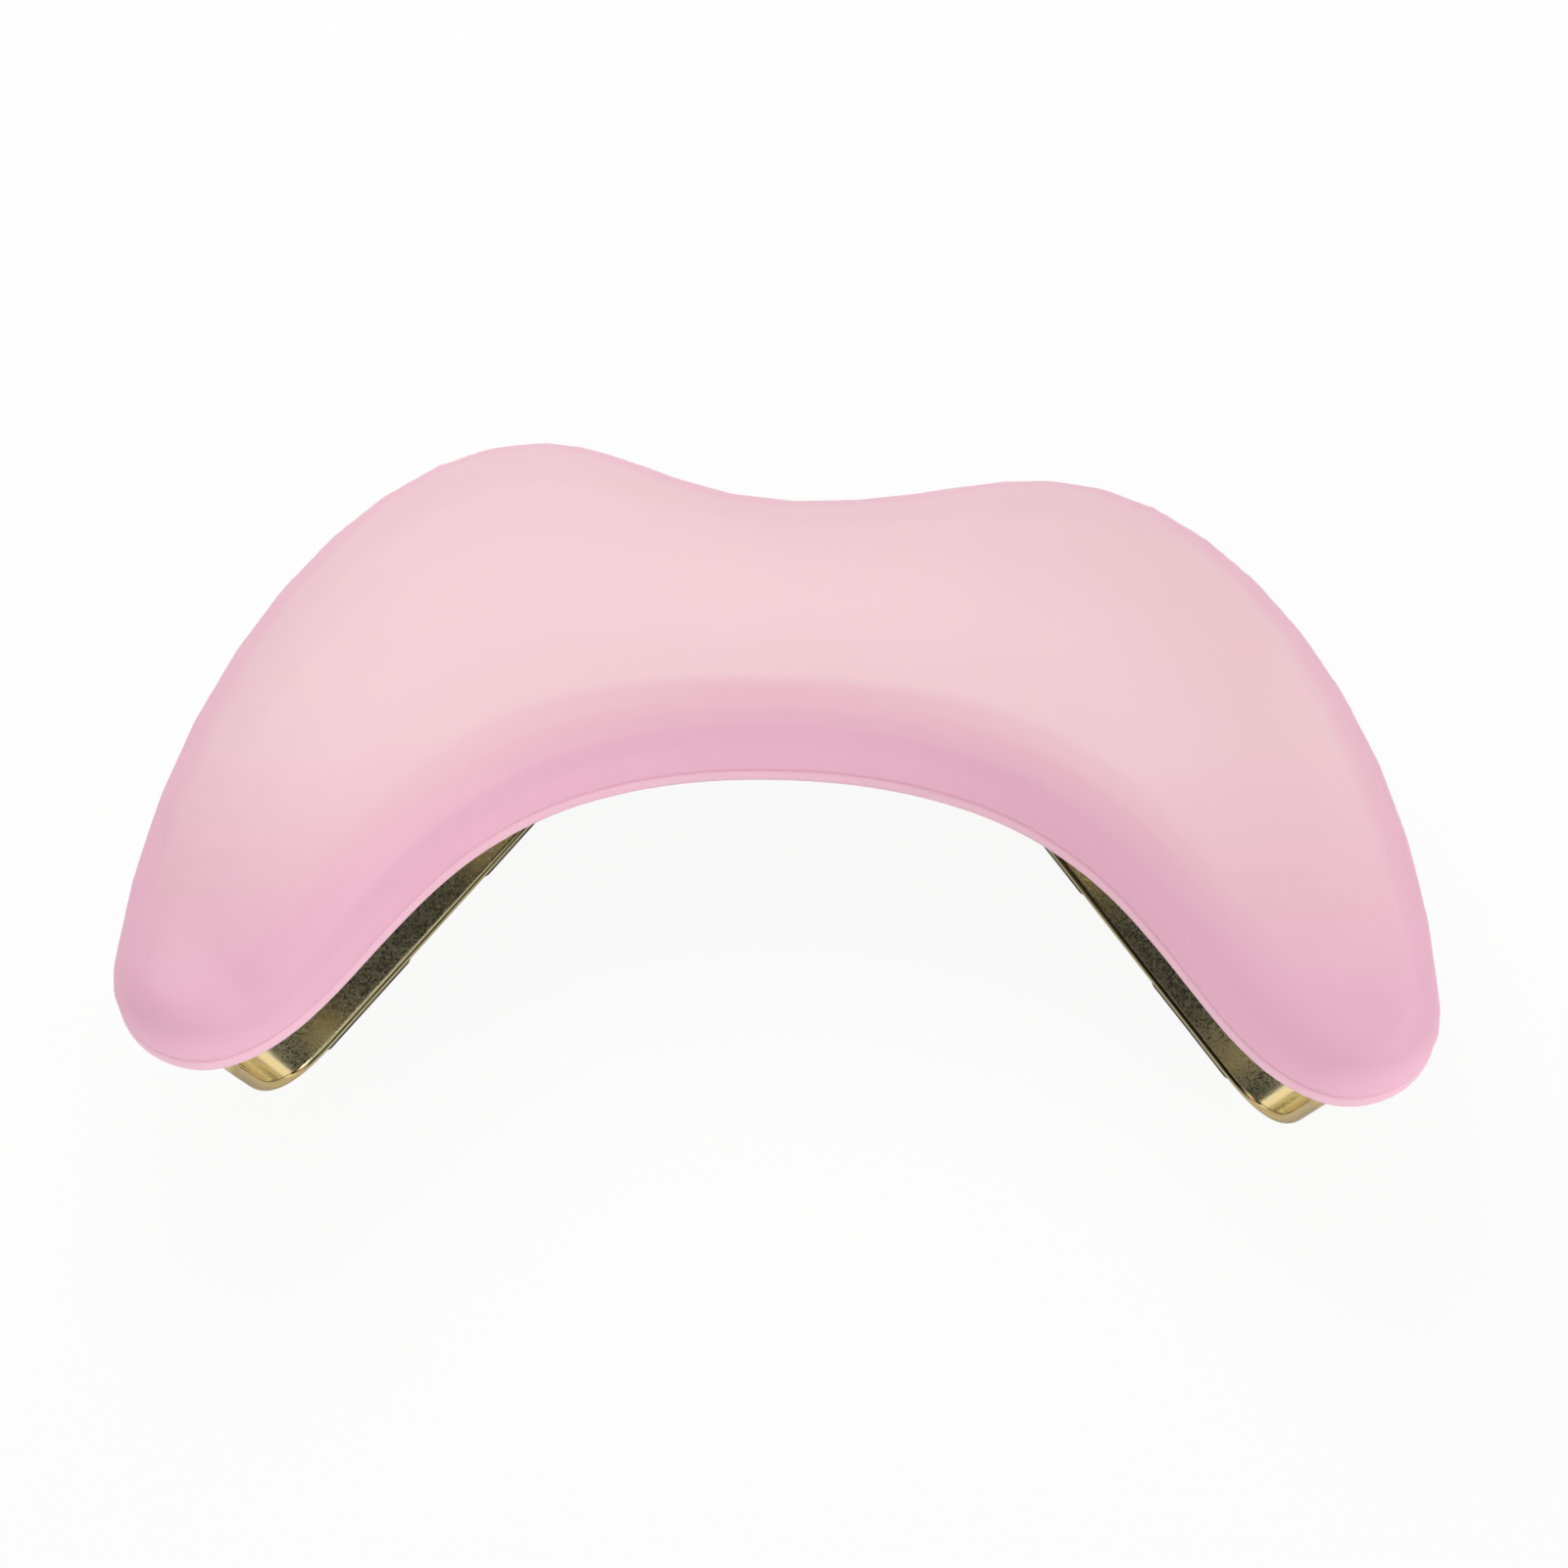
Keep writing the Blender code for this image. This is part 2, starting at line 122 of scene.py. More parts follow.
class Finish:
    """A material round one Principled shader."""

    def __init__(self, name, **constants):
        self.material = bpy.data.materials.new(name)
        self.material.use_nodes = True
        self.tree = self.material.node_tree
        self.shader = self.tree.nodes["Principled BSDF"]
        self.set(**constants)
        self.place = self.node("TexCoord", output="Object")

    def node(self, kind, inputs=None, output=0, **settings):
        """Add a node, give it its settings, then its socket values or links, and return one output."""
        made = self.tree.nodes.new("ShaderNode" + kind)
        for name, setting in settings.items():
            setattr(made, name, setting)
        for entry, value in (inputs or {}).items():
            feed(made.inputs[entry], value)
        return Signal(made.outputs[output])

    def noise(self, scale, detail=2.0, rough=0.5):
        """Soft noise from 0 to 1 with about this many blobs a metre."""
        inputs = {"Vector": self.place, "Scale": scale, "Detail": detail, "Roughness": rough}
        return self.node("TexNoise", inputs, output="Fac")

    def cells(self, scale, **settings):
        """Distance to the nearest of about this many cells a metre."""
        inputs = {"Vector": self.place, "Scale": scale}
        return self.node("TexVoronoi", inputs, output="Distance", **settings)

    def mix(self, share, first, second):
        """Blend two colours."""
        return self.node("Mix", {0: share, 6: first, 7: second}, output=2, data_type="RGBA")

    def bump(self, height, depth, strength=1.0, under=None):
        """Relief of this depth in metres, over another relief if one is given."""
        inputs = {"Height": height, "Distance": depth, "Strength": strength}
        if under:
            inputs["Normal"] = under
        return self.node("Bump", inputs, output="Normal")

    def set(self, **entries):
        """Feed the shader's sockets."""
        for entry, value in entries.items():
            feed(self.shader.inputs[entry.replace("_", " ")], value)


def dress(piece, finish):
    """Give a piece one finish and nothing else."""
    piece.data.materials.clear()
    piece.data.materials.append(finish.material)


def alone(piece):
    """Make one object active and the only one selected."""
    bpy.ops.object.select_all(action="DESELECT")
    bpy.context.view_layer.objects.active = piece
    piece.select_set(True)


def edit(piece, wanted=None, kind="VERT"):
    """Enter edit mode with only the wanted items selected, or with everything."""
    alone(piece)
    bpy.ops.object.mode_set(mode="EDIT")
    bpy.ops.mesh.select_mode(type=kind)
    bpy.ops.mesh.select_all(action="DESELECT" if wanted else "SELECT")
    if wanted:
        mesh = bmesh.from_edit_mesh(piece.data)
        for item in {"VERT": mesh.verts, "EDGE": mesh.edges, "FACE": mesh.faces}[kind]:
            if wanted(item):
                item.select_set(True)
        mesh.select_flush_mode()
        bmesh.update_edit_mesh(piece.data)


def done():
    """Leave edit mode."""
    bpy.ops.object.mode_set(mode="OBJECT")


def shape(piece, kind, **settings):
    """Add a modifier with its settings and apply it."""
    alone(piece)
    made = piece.modifiers.new(kind.lower(), kind)
    for name, setting in settings.items():
        setattr(made, name, setting)
    bpy.ops.object.modifier_apply(modifier=made.name)


def copy_of(node, name):
    """A new object with a copy of a CAD node's mesh, its doubles merged."""
    piece = bpy.data.objects.new(name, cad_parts[node].data.copy())
    bpy.context.scene.collection.objects.link(piece)
    edit(piece)
    bpy.ops.mesh.remove_doubles(threshold=0.00001)
    bpy.ops.mesh.tris_convert_to_quads(face_threshold=math.radians(60), shape_threshold=math.radians(60))
    done()
    return piece


def swell(piece):
    """Blow up the cover's closed skin with Cloth, its foot held, and keep each point near its start."""
    start = [corner.co.copy() for corner in piece.data.vertices]
    foot = piece.vertex_groups.new(name="foot")
    for index, corner in enumerate(start):
        foot.add([index], 1.0 - min(1.0, max(0.0, (corner.z - BAND_TOP) / HELD_FADE)), "REPLACE")
    cloth = piece.modifiers.new("pressure", "CLOTH")
    cloth.settings.quality = 6
    cloth.settings.tension_stiffness = 25
    cloth.settings.compression_stiffness = 25
    cloth.settings.bending_stiffness = 2.0
    cloth.settings.use_pressure = True
    cloth.settings.uniform_pressure_force = PRESSURE
    cloth.settings.vertex_group_mass = foot.name
    cloth.settings.effector_weights.gravity = 0.0
    cloth.collision_settings.use_collision = False
    cloth.point_cache.frame_start = 1
    cloth.point_cache.frame_end = SWELL_FRAMES
    for moment in range(1, SWELL_FRAMES + 1):
        bpy.context.scene.frame_set(moment)
    alone(piece)
    bpy.ops.object.modifier_apply(modifier=cloth.name)
    bpy.context.scene.frame_set(1)
    piece.vertex_groups.clear()
    for corner, before in zip(piece.data.vertices, start):
        step = corner.co - before
        corner.co = before + step * min(1.0, MOST_SWELL / max(step.length, 1e-9))


def is_under_foam(face):
    """Whether a face is part of the sponge's flat underside."""
    return face.normal.z < -0.9 and face.calc_center_median().z < FOAM_BOTTOM + 0.0002


cover = copy_of("foam_pad", "pink_leather_cover")
edit(cover, is_under_foam, "FACE")
bpy.ops.mesh.delete(type="FACE")
done()
shape(cover, "SUBSURF", levels=2, render_levels=2)
shape(cover, "DISPLACE", strength=SKIN_OVER_FOAM, mid_level=0.0)
edit(cover, lambda edge: edge.is_boundary, "EDGE")
bpy.ops.mesh.extrude_region_move(TRANSFORM_OT_translate={"value": (0, 0, HEM_BOTTOM - FOAM_BOTTOM)})
bpy.ops.mesh.edge_face_add()
done()
shape(cover, "REMESH", mode="VOXEL", voxel_size=VOXEL, use_smooth_shade=True)
swell(cover)
edit(cover, lambda corner: corner.co.z > BAND_TOP + VOXEL)
bpy.ops.mesh.vertices_smooth(factor=0.5, repeat=CROWN_SMOOTHING)
done()

# Wherever the smoothed skin comes too near the sponge, it is laid back on it.
sponge_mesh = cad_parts["foam_pad"].data
sponge = BVHTree.FromPolygons(
    [corner.co for corner in sponge_mesh.vertices], [face.vertices for face in sponge_mesh.polygons]
)


def lay_on_sponge(piece, least):
    """Move each point of a skin out until it is at least this far from the sponge."""
    for corner in piece.data.vertices:
        if corner.co.z > BAND_TOP - VOXEL:
            spot, normal, _, _ = sponge.find_nearest(corner.co)
            over = (corner.co - spot).dot(normal)
            if over < least:
                corner.co += normal * (least - over)


lay_on_sponge(cover, LEAST_OVER_FOAM)
edit(cover, lambda corner: corner.co.z > BAND_TOP)
bpy.ops.mesh.vertices_smooth(factor=0.5, repeat=3)
done()
shape(cover, "SUBSURF", levels=1, render_levels=1)
lay_on_sponge(cover, LEAST_OVER_FOAM)
edit(cover, lambda corner: corner.co.z > BAND_TOP + VOXEL)
bpy.ops.mesh.vertices_smooth(factor=0.5, repeat=2)
done()
lay_on_sponge(cover, LEAST_OVER_FOAM - LAST_SLACK)
edit(cover)
bpy.ops.mesh.bisect(plane_co=(0, 0, BAND_TOP), plane_no=(0, 0, 1), clear_inner=True)
done()


def rim_of(mesh):
    """The open edge's vertices in order."""
    edge = next(edge for edge in mesh.edges if edge.is_boundary)
    first, vert = edge.verts
    ring = [first]
    while vert != first:
        ring.append(vert)
        edge = next(link for link in vert.link_edges if link.is_boundary and link != edge)
        vert = edge.other_vert(vert)
    return ring


band = bmesh.new()
band.from_mesh(cover.data)
bmesh.ops.remove_doubles(band, verts=[vert for vert in band.verts if vert.is_boundary], dist=RIM_MERGE)
rim = rim_of(band)
for _ in range(RIM_SMOOTHING):
    spots = [vert.co.copy() for vert in rim]
    for index, vert in enumerate(rim):
        vert.co = spots[index] * 0.5 + (spots[index - 1] + spots[(index + 1) % len(rim)]) * 0.25
        vert.co.z = BAND_TOP
spots = [vert.co.copy() for vert in rim]
area = sum(a.x * b.y - b.x * a.y for a, b in zip(spots, spots[1:] + spots[:1]))
inward = []
for index in range(len(rim)):
    tangent = (spots[(index + 2) % len(rim)] - spots[index - 2]).normalized()
    inward.append(Vector((-tangent.y, tangent.x, 0)) * math.copysign(1, area))
last = rim
for drop, depth in BAND:
    ring = [band.verts.new(spot + step * depth - Vector((0, 0, drop))) for spot, step in zip(spots, inward)]
    for index in range(len(rim)):
        band.faces.new((last[index - 1], last[index], ring[index], ring[index - 1]))
    last = ring
bmesh.ops.recalc_face_normals(band, faces=band.faces)
band.to_mesh(cover.data)
band.free()
shape(cover, "SOLIDIFY", thickness=LEATHER, offset=-1.0)
alone(cover)
bpy.ops.object.shade_smooth_by_angle(angle=math.radians(50))

# The colour has painted light and shade in it, set by the way the skin faces: a painted sheen makes the
# crown paler, fading towards the arms' front ends, and painted shade shifts the slopes' deeper pink with
# their steepness. The rim band, pinker than the crown, is painted paler than the slope above as painted
# bounce light, and painted shade darkens the crease at its top.
# Painted sheen and shade: how near the skin faces to this direction sets them.
PAINTED_SHEEN_AIM = (-0.03, 0.14, 0.99)
CREASE_LOW = BAND_TOP - 0.0034
CREASE_HIGH = BAND_TOP - 0.0018
leather = Finish("pink_leather", Coat_Roughness=0.35)
aims = {0: leather.node("NewGeometry", output="Normal"), 1: PAINTED_SHEEN_AIM}
facing_for_painted_light = leather.node("VectorMath", aims, output="Value", operation="DOT_PRODUCT")
along = leather.node("SeparateXYZ", {0: leather.place}, output="Y")
height = leather.node("SeparateXYZ", {0: leather.place}, output="Z")
mottle = leather.noise(11.0, detail=3.0)
# Painted shade: the slopes' deeper pink shifts with how steep they are.
slope_painted_shade = leather.mix(facing_for_painted_light.ramp(0.30, 0.75), (0.885, 0.475, 0.610), (0.850, 0.460, 0.590))
# Painted sheen: the crown's paler pink, with a random mottle in it.
crown_painted_sheen_and_mottle = leather.mix(mottle.ramp(0.3, 0.7), (0.862, 0.578, 0.626), (0.876, 0.596, 0.642))
# The painted sheen lies on faces turned up and a little back, and fades out towards the arms' front ends.
painted_sheen_share = (facing_for_painted_light.ramp(0.86, 0.955) * 0.6 + facing_for_painted_light.ramp(0.55, 0.88) * 0.4) * along.ramp(-0.100, 0.005)
# Painted bounce light: the rim band below the crease is painted a paler pink.
band_painted_light_share = 1 - height.ramp(CREASE_LOW, BAND_TOP - 0.0026)
# Painted shade: a darker pink line along the crease.
crease_painted_shade = height.ramp(CREASE_LOW, BAND_TOP - 0.0027) - height.ramp(BAND_TOP - 0.0025, CREASE_HIGH)
skin = leather.mix(band_painted_light_share, leather.mix(painted_sheen_share, slope_painted_shade, crown_painted_sheen_and_mottle), (0.930, 0.560, 0.675))
skin = leather.mix(crease_painted_shade * 0.3, skin, (0.760, 0.370, 0.480))
grain = leather.cells(1300.0, feature="SMOOTH_F1")
pores = leather.noise(2600.0)
waves = leather.noise(60.0)
leather.set(
    Base_Color=skin,
    Roughness=0.46 + mottle * 0.06 + pores * 0.05,
    Coat_Weight=0.10 + mottle * 0.08,
    Normal=leather.bump(grain + pores * 0.4, 0.00004, 0.3, under=leather.bump(waves, 0.0003, 0.1)),
)
dress(cover, leather)
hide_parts("leather_cover")
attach(cover, "root")


# The sponge and the board
# A block of cream sponge is glued on a crescent of 6 mm fibreboard. The cover hides both.
sponge_look = Finish("cream_sponge", Roughness=0.95)
pores_and_painted_shade = sponge_look.cells(900.0)
sponge_look.set(
    # Painted shade: the pores are painted a darker brown than the cream sponge.
    Base_Color=sponge_look.mix(pores_and_painted_shade.ramp(0.1, 0.6), (0.55, 0.47, 0.32), (0.88, 0.81, 0.62)),
    Normal=sponge_look.bump(pores_and_painted_shade, 0.0004, 0.6),
)
dress(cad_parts["foam_pad"], sponge_look)
fibreboard = Finish("fibreboard", Roughness=0.85)
fibres = fibreboard.noise(700.0, detail=6.0, rough=0.7)
fibreboard.set(
    Base_Color=fibreboard.mix(fibres, (0.36, 0.23, 0.12), (0.52, 0.35, 0.20)),
    Normal=fibreboard.bump(fibres, 0.0001, 0.5),
)
dress(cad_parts["base_board"], fibreboard)


# The lining
# A thin black non-woven sheet, pressed with small dots, closes the underside over the leather's hem.
felt = Finish("black_lining", Roughness=0.92)
strands = felt.noise(1800.0, detail=5.0, rough=0.75)
dots = felt.cells(700.0)
felt.set(
    Base_Color=felt.mix(strands.ramp(0.35, 0.7), (0.012, 0.012, 0.014), (0.055, 0.055, 0.06)),
    Normal=felt.bump(dots * 0.7 + strands * 0.5, 0.0002, 0.8),
)
dress(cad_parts["bottom_lining"], felt)


# The two legs
# Each is one strip of steel, 25 by 3.5 mm with rounded edges, bent up at both ends and gold plated.
# Its long foot stands on rubber pads, and two screws hold each of its turned-in tabs up against the lining.
LEG_TURN = math.radians(55.1)
STRIP_WIDTH = 0.025
STRIP_THICKNESS = 0.0035
EDGE_ROUND = 0.0016
FOOT_HALF = 0.07924
TOP_HALF = 0.0951
TAB_END = 0.03445
TAB_CORNER = 0.004
FOOT_BEND = 0.0262
FOOT_BEND_PROFILE = 0.59
TOP_BEND = 0.0205
HOLE = 0.0054
DRILL_DEPTH = 0.012
HAIR = 0.0001
SCREW_STATIONS = (0.06745, 0.04545, -0.04545, -0.06745)

# The plating's colour has painted light in it. The flat of the foot is speckled: painted a paler olive with
# dark specks, a painted reflection of the lining above it. A painted dark reflection lines the foot's
# rounded edges, the bends are painted warmer as a painted reflection of the shaded table, and the outside
# is painted darker as painted shade where it looks down.
gold = Finish("gold_plating", Metallic=1.0)
upward = gold.node("SeparateXYZ", {0: gold.node("NewGeometry", output="Normal")}, output="Z")
above_foot = gold.node("SeparateXYZ", {0: gold.place}, output="Z").ramp(0.0062, 0.0075)
on_flat = upward.ramp(0.80, 0.99)
# Painted reflection: the bends are painted a warmer brown for the shaded table they mirror.
bend_painted_reflection = above_foot * (1 - upward.ramp(0.80, 0.97))
# Painted shade: the outside faces that look down are painted a darker brown gold.
outside_painted_shade = (1 - upward.ramp(-0.25, 0.20)) * upward.ramp(-0.97, -0.70)
# Painted reflection: a near-black line is painted along the foot's rounded upper edges.
rim_painted_dark_reflection = (1 - above_foot) * upward.ramp(0.25, 0.45) * (1 - upward.ramp(0.92, 0.98))
smudge = gold.noise(28.0, detail=4.0, rough=0.6)
# The specks roughen and pit the flat, and are also painted into its colour as dark specks of painted
# reflection.
speck_and_painted_reflection = gold.noise(1300.0, detail=3.0, rough=0.65)
plating = gold.mix(smudge.ramp(0.3, 0.75), (0.87, 0.76, 0.42), (0.93, 0.84, 0.50))
plating = gold.mix(bend_painted_reflection * 0.8, plating, (0.86, 0.64, 0.28))
# Painted reflection of the lining: the flat is painted a paler olive, then speckled darker.
plating = gold.mix(on_flat * 0.7, plating, (0.88, 0.86, 0.55))
plating = gold.mix(on_flat * speck_and_painted_reflection.ramp(0.42, 0.62) * 0.6, plating, (0.46, 0.44, 0.29))
plating = gold.mix(rim_painted_dark_reflection * 0.85, plating, (0.07, 0.06, 0.03))
gold.set(
    Base_Color=gold.mix(outside_painted_shade * 0.85, plating, (0.46, 0.34, 0.15)),
    Roughness=0.08 + smudge.ramp(0.35, 0.8) * 0.06 + on_flat * (speck_and_painted_reflection.ramp(0.35, 0.7) * 0.24 + 0.12),
    Normal=gold.bump(speck_and_painted_reflection * on_flat, 0.00006, 0.6, under=gold.bump(smudge, 0.0004, 0.15)),
)


def middle_of(node):
    """The middle of a CAD node's box, and its lowest and highest z."""
    low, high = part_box(node)
    return (low[0] + high[0]) / 2, (low[1] + high[1]) / 2, low[2], high[2]


def settle(piece, x, y, turn):
    """Turn a piece about the upright axis, move it, and put its place into its mesh."""
    piece.rotation_euler.z = turn
    piece.location = (x, y, 0)
    alone(piece)
    bpy.ops.object.transform_apply(location=True, rotation=True, scale=True)


def bent_leg(name):
    """One leg along x: its path is an upright plane with rounded corners, whose outline becomes a strip."""
    _, _, low, high = middle_of(name)

    def is_high(place):
        return place.z > high - HAIR

    def is_between_tabs(place):
        return is_high(place) and abs(place.x) < TAB_END

    near_edge = (0, -STRIP_WIDTH / 2, 0)
    bpy.ops.object.select_all(action="DESELECT")
    bpy.ops.mesh.primitive_plane_add(size=1.0, rotation=(math.pi / 2, 0, 0), location=near_edge)
    leg = bpy.context.object
    leg.name = name + "_strip"
    bpy.ops.object.transform_apply(location=True, rotation=True, scale=True)
    for corner in leg.data.vertices:
        top = corner.co.z > 0
        corner.co.x = math.copysign(TOP_HALF if top else FOOT_HALF, corner.co.x)
        corner.co.z = high if top else low
    edit(leg, lambda corner: corner.co.z < (low + high) / 2)
    bpy.ops.mesh.bevel(
        offset=FOOT_BEND, offset_pct=0, segments=36, profile=FOOT_BEND_PROFILE, affect="VERTICES"
    )
    done()
    edit(leg, lambda corner: is_high(corner.co))
    bpy.ops.mesh.bevel(offset=TOP_BEND, offset_pct=0, segments=20, affect="VERTICES")
    done()
    edit(leg, None, "FACE")
    bpy.ops.mesh.delete(type="ONLY_FACE")
    done()
    edit(leg, None, "EDGE")
    bpy.ops.mesh.extrude_region_move(TRANSFORM_OT_translate={"value": (0, STRIP_WIDTH, 0)})
    bpy.ops.mesh.select_all(action="SELECT")
    bpy.ops.mesh.normals_make_consistent(inside=False)
    done()
    for end in (TAB_END, -TAB_END):
        edit(leg, lambda face: face.normal.z > 0.99 and is_high(face.calc_center_median()), "FACE")
        bpy.ops.mesh.bisect(plane_co=(end, 0, 0), plane_no=(1, 0, 0))
        done()
    edit(leg, lambda face: is_between_tabs(face.calc_center_median()), "FACE")
    bpy.ops.mesh.delete(type="FACE")
    done()
    edit(leg, lambda corner: is_high(corner.co) and abs(corner.co.x) < TAB_END + HAIR)
    bpy.ops.mesh.bevel(offset=TAB_CORNER, offset_pct=0, segments=6, affect="VERTICES")
    done()
    shape(leg, "SOLIDIFY", thickness=STRIP_THICKNESS, offset=-1.0, use_even_offset=True)
    shape(leg, "BEVEL", width=EDGE_ROUND, segments=6, limit_method="ANGLE", angle_limit=math.radians(60))
    for station in SCREW_STATIONS:
        bpy.ops.object.select_all(action="DESELECT")
        bpy.ops.mesh.primitive_cylinder_add(
            vertices=40, radius=HOLE / 2, depth=DRILL_DEPTH, location=(station, 0, high)
        )
        drill = bpy.context.object
        shape(leg, "BOOLEAN", operation="DIFFERENCE", solver="EXACT", object=drill)
        bpy.data.objects.remove(drill, do_unlink=True)
    alone(leg)
    bpy.ops.object.shade_smooth_by_angle(angle=math.radians(35))
    return leg


for side, name in ((1, "right_leg"), (-1, "left_leg")):
    leg = bent_leg(name)
    x, y, _, _ = middle_of(name)
    settle(leg, x, y, -LEG_TURN if side > 0 else LEG_TURN - math.pi)
    dress(leg, gold)
    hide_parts(name)
    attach(leg, "root")


# The rubber pads
# Two dark rubber pads are glued under each foot, and keep it from slipping and from scratching the table.
PAD_LENGTH = 0.041
PAD_WIDTH = 0.0234
PAD_CORNER = 0.003
PAD_EDGE = 0.0004
RECESS_EDGE = 0.0015
RECESS = 0.0003

rubber = Finish("dark_rubber", Roughness=0.75)
stipple = rubber.noise(1500.0)
rubber.set(
    Base_Color=rubber.mix(stipple, (0.030, 0.022, 0.014), (0.062, 0.048, 0.032)),
    Normal=rubber.bump(stipple, 0.0001, 0.4),
)
for node in [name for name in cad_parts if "_pad_" in name]:
    x, y, low, high = middle_of(node)
    bpy.ops.object.select_all(action="DESELECT")
    bpy.ops.mesh.primitive_cube_add(size=1.0, location=(0, 0, (low + high) / 2))
    pad = bpy.context.object
    pad.name = node + "_rubber"
    pad.scale = (PAD_LENGTH, PAD_WIDTH, high - low)
    bpy.ops.object.transform_apply(location=True, rotation=True, scale=True)
    edit(pad, lambda edge: abs(edge.verts[0].co.z - edge.verts[1].co.z) > 0.001, "EDGE")
    bpy.ops.mesh.bevel(offset=PAD_CORNER, offset_pct=0, segments=8, affect="EDGES")
    done()
    edit(pad, lambda face: abs(face.normal.z) > 0.9, "FACE")
    bpy.ops.mesh.bevel(offset=PAD_EDGE, offset_pct=0, segments=3, affect="EDGES")
    done()
    edit(pad, lambda face: face.normal.z < -0.99, "FACE")
    bpy.ops.mesh.inset(thickness=RECESS_EDGE)
    bpy.ops.mesh.inset(thickness=RECESS, depth=-RECESS)
    done()
    settle(pad, x, y, -LEG_TURN if x > 0 else LEG_TURN)
    alone(pad)
    bpy.ops.object.shade_smooth_by_angle(angle=math.radians(40))
    dress(pad, rubber)
    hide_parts(node)
    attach(pad, "root")


# The screws and nuts
# Zinc plated button head screws go up through the tabs into flanged nuts that are let into the board.
SHANK = 0.0046
HEAD = 0.0095
HEAD_HEIGHT = 0.003
HEAD_ROUND = 0.0019
TIP_ROUND = 0.0007
SOCKET = 0.0030
SOCKET_DEPTH = 0.0017

zinc = Finish("zinc_plating", Metallic=1.0)
frost = zinc.noise(900.0, detail=3.0)
zinc.set(
    Base_Color=zinc.mix(frost, (0.55, 0.56, 0.58), (0.70, 0.71, 0.73)),
    Roughness=0.25 + frost * 0.2,
    Normal=zinc.bump(frost, 0.00002, 0.3),
)


def button_screw(name, low, high):
    """A button head screw on the z axis, its head down."""
    seat = low + HEAD_HEIGHT
    bpy.ops.object.select_all(action="DESELECT")
    bpy.ops.mesh.primitive_cylinder_add(
        vertices=48, radius=HEAD / 2, depth=HEAD_HEIGHT, location=(0, 0, low + HEAD_HEIGHT / 2)
    )
    screw = bpy.context.object
    screw.name = name
    bpy.ops.object.transform_apply(location=True, rotation=True, scale=True)
    edit(screw, lambda face: face.normal.z < -0.9, "FACE")
    bpy.ops.mesh.bevel(offset=HEAD_ROUND, offset_pct=0, segments=8, affect="EDGES")
    done()
    edit(screw, lambda face: face.normal.z > 0.9, "FACE")
    bpy.ops.mesh.inset(thickness=(HEAD - SHANK) / 2)
    bpy.ops.mesh.extrude_region_move(TRANSFORM_OT_translate={"value": (0, 0, high - seat)})
    bpy.ops.mesh.bevel(offset=TIP_ROUND, offset_pct=0, segments=2, affect="EDGES")
    done()
    bpy.ops.object.select_all(action="DESELECT")
    bpy.ops.mesh.primitive_cylinder_add(
        vertices=6, radius=SOCKET / math.sqrt(3), depth=2 * SOCKET_DEPTH, location=(0, 0, low)
    )
    key = bpy.context.object
    shape(screw, "BOOLEAN", operation="DIFFERENCE", solver="EXACT", object=key)
    bpy.data.objects.remove(key, do_unlink=True)
    alone(screw)
    bpy.ops.object.shade_smooth_by_angle(angle=math.radians(35))
    dress(screw, zinc)
    return screw


_, _, screw_low, screw_high = middle_of("right_screw_1")
first_screw = button_screw("screw_pattern", screw_low, screw_high)
for node in [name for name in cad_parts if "_screw_" in name]:
    screw = bpy.data.objects.new(node + "_zinc", first_screw.data.copy())
    bpy.context.scene.collection.objects.link(screw)
    x, y, _, _ = middle_of(node)
    settle(screw, x, y, x * 40)
    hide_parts(node)
    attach(screw, "root")
bpy.data.objects.remove(first_screw, do_unlink=True)
for node in [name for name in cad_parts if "_nut_" in name]:
    dress(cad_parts[node], zinc)


# The table top
# A plain white table with a faint soft shadow on it. The camera sees it nearly white by itself, and metal
# sees much less of its own light.
SEEN_BY_CAMERA = 0.92
SEEN_BY_METAL = 0.2
bpy.ops.object.select_all(action="DESELECT")
bpy.ops.mesh.primitive_plane_add(size=8.0, location=(0, 0, -0.0001))
table_top = bpy.context.object
table_top.name = "table_top"
bpy.ops.object.transform_apply(location=True, rotation=True, scale=True)
white = Finish("white_table", Base_Color=(0.9, 0.9, 0.9), Roughness=0.7)
rays = white.tree.nodes.new("ShaderNodeLightPath").outputs
in_metal = Signal(rays["Is Glossy Ray"]) + Signal(rays["Is Transmission Ray"])
seen = Signal(rays["Is Camera Ray"]) * SEEN_BY_CAMERA + in_metal * SEEN_BY_METAL
glow = white.node("Emission", {"Color": (1.0, 1.0, 1.0), "Strength": 1.0})
table_look = white.node("MixShader", {0: seen, 1: Signal(white.shader.outputs[0]), 2: glow})
feed(white.tree.nodes["Material Output"].inputs["Surface"], table_look)
dress(table_top, white)


# The studio
# Pale walls, brighter low in front, a soft box behind and one at the right. Metal sees a dark room instead:
# its back, ceiling and upper right are bright, and the side where the camera stands is dark.
WALL_LIGHT = 0.39
FRONT_LIGHT = 1.90
ROOM_LIGHT = 0.03
BACK_LIGHT = 0.95
CEILING_LIGHT = 0.4
RIGHT_LIGHT = 2.4
CUSHION_MIDDLE = Vector((0, 0, 0.07))
sky = bpy.data.worlds.new("studio")
sky.use_nodes = True
bpy.context.scene.world = sky
nodes = sky.node_tree.nodes
aim = nodes.new("ShaderNodeSeparateXYZ")
feed(aim.inputs[0], Signal(nodes.new("ShaderNodeTexCoord").outputs["Generated"]))
right, behind, rise = (Signal(output) for output in aim.outputs)
rays = nodes.new("ShaderNodeLightPath").outputs
to_camera, to_metal = Signal(rays["Is Camera Ray"]), Signal(rays["Is Glossy Ray"])
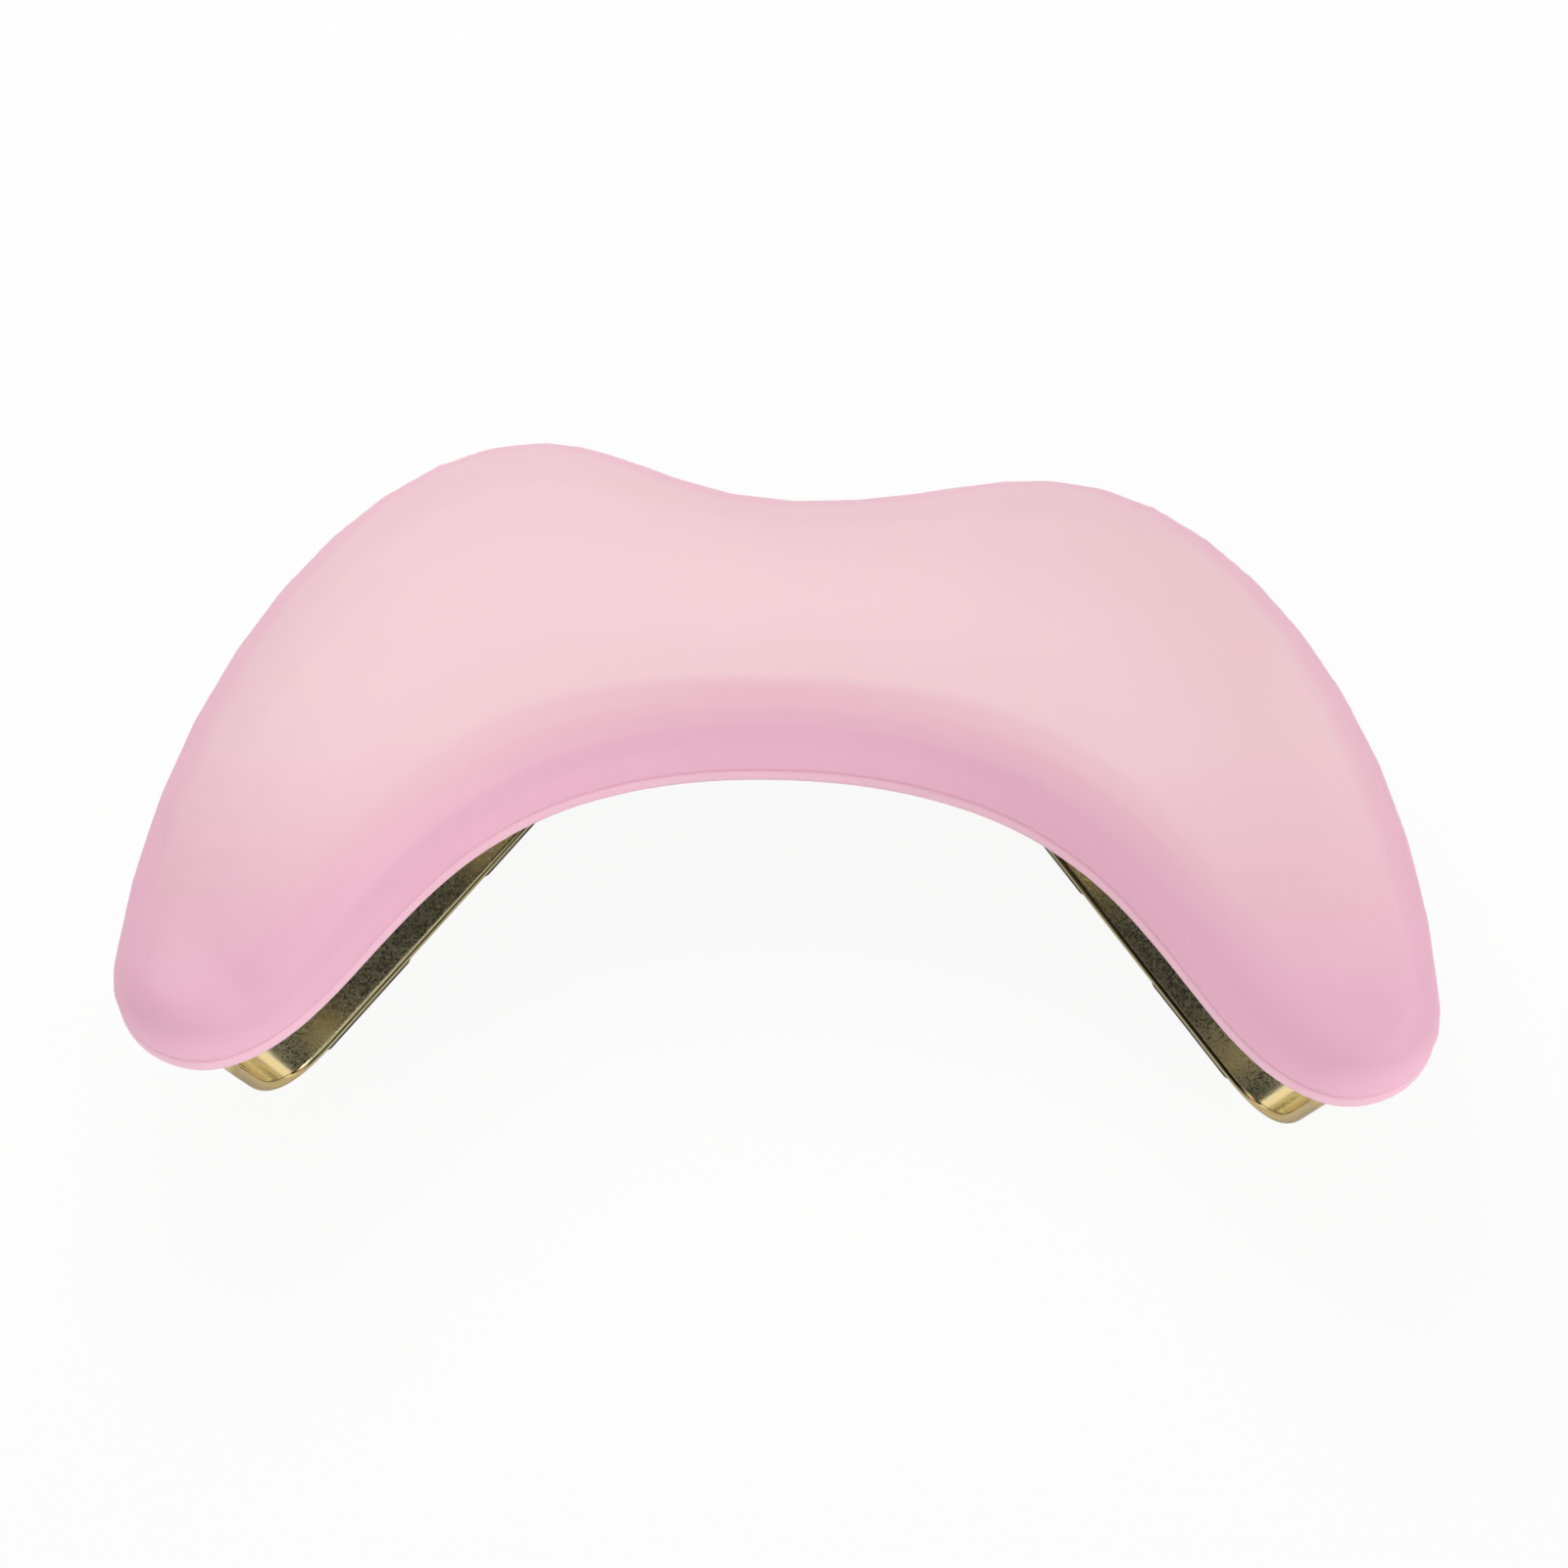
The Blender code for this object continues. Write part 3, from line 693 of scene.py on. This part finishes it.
walls = WALL_LIGHT + (1 - rise.ramp(0.0, 0.6)) * (1 - behind.ramp(-0.3, 0.1)) * FRONT_LIGHT
dark_room = ROOM_LIGHT + behind.ramp(0.0, 0.4) * BACK_LIGHT + rise.ramp(0.75, 0.95) * CEILING_LIGHT
dark_room = dark_room + right.ramp(0.2, 0.6) * rise.ramp(0.3, 0.6) * RIGHT_LIGHT
room = to_metal * dark_room + (1 - to_metal) * walls
feed(nodes["Background"].inputs["Strength"], to_camera + (1 - to_camera) * room)
nodes["Background"].inputs["Color"].default_value = (1.0, 1.0, 1.0, 1.0)


def soft_box(name, place, size, watts):
    """A square soft box that looks at the middle of the cushion."""
    lamp = bpy.data.lights.new(name, "AREA")
    lamp.shape = "SQUARE"
    lamp.size = size
    lamp.energy = watts
    box = bpy.data.objects.new(name, lamp)
    bpy.context.scene.collection.objects.link(box)
    box.location = place
    box.rotation_euler = (CUSHION_MIDDLE - Vector(place)).to_track_quat("-Z", "Y").to_euler()
    return box


soft_box("back_box", (-0.22, 0.60, 1.00), 0.8, 6.9)
right_box = soft_box("right_box", (1.90, -0.80, 0.50), 1.2, 10.0)
right_box.visible_glossy = False


# The camera
# It stands in front, a little to the right of the middle, and looks down at 60 degrees.
CAMERA_TURN = math.radians(2.0)
CAMERA_RISE = math.radians(60.0)
CAMERA_DISTANCE = 0.95
CAMERA_AIM = Vector((0.0, -0.0051, 0.060))
SENSOR_WIDTH = 36.0
FOCAL_LENGTH = 74.5
lens = bpy.data.cameras.new("front_camera")
lens.sensor_width = SENSOR_WIDTH
lens.lens = FOCAL_LENGTH
camera = bpy.data.objects.new("front_camera", lens)
bpy.context.scene.collection.objects.link(camera)
level = CAMERA_DISTANCE * math.cos(CAMERA_RISE)
back = Vector(
    (level * math.sin(CAMERA_TURN), -level * math.cos(CAMERA_TURN), CAMERA_DISTANCE * math.sin(CAMERA_RISE))
)
camera.location = CAMERA_AIM + back
camera.rotation_euler = (-back).to_track_quat("-Z", "Y").to_euler()
bpy.context.scene.camera = camera
bpy.context.scene.view_settings.view_transform = "Standard"
